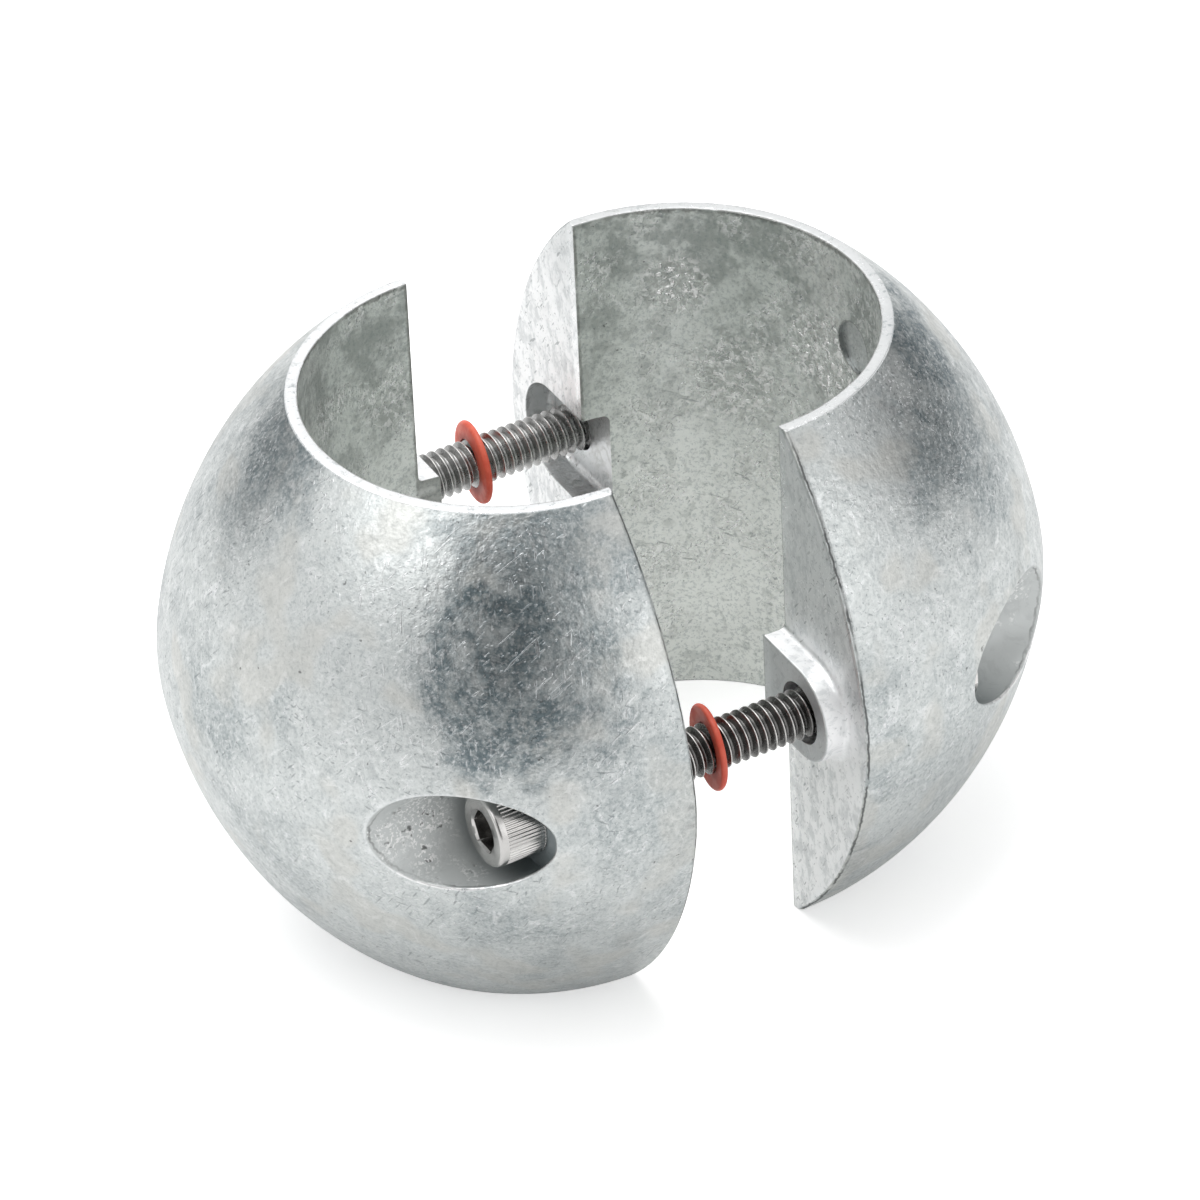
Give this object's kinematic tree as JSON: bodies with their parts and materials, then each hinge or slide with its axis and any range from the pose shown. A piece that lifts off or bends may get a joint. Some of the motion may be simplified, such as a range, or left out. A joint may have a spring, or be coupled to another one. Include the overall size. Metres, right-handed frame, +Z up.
{
  "type": "sacrificial anode",
  "caption": "Split barrel-shaped zinc anode for a propeller shaft, standing open, its halves joined by socket head screws with red retaining washers.",
  "frame": {"origin": "on the surface the barrel stands on, midway between the two parting faces and on the plane of the bore axes", "axes": "+Z up along the shaft bore, +X along the clamp screws towards the right half, -Y towards the side that faces the viewer"},
  "size_m": [0.1132, 0.0896, 0.0734],
  "materials": {
    "zinc": "satin",
    "stainless": "satin",
    "washer_red": "matte"
  },
  "bodies": {
    "root": {"left_half": "zinc", "right_half": "zinc", "front_screw": "stainless", "rear_screw": "stainless", "front_nut": "stainless", "rear_nut": "stainless", "front_washer": "washer_red", "rear_washer": "washer_red"}
  },
  "joints": []
}
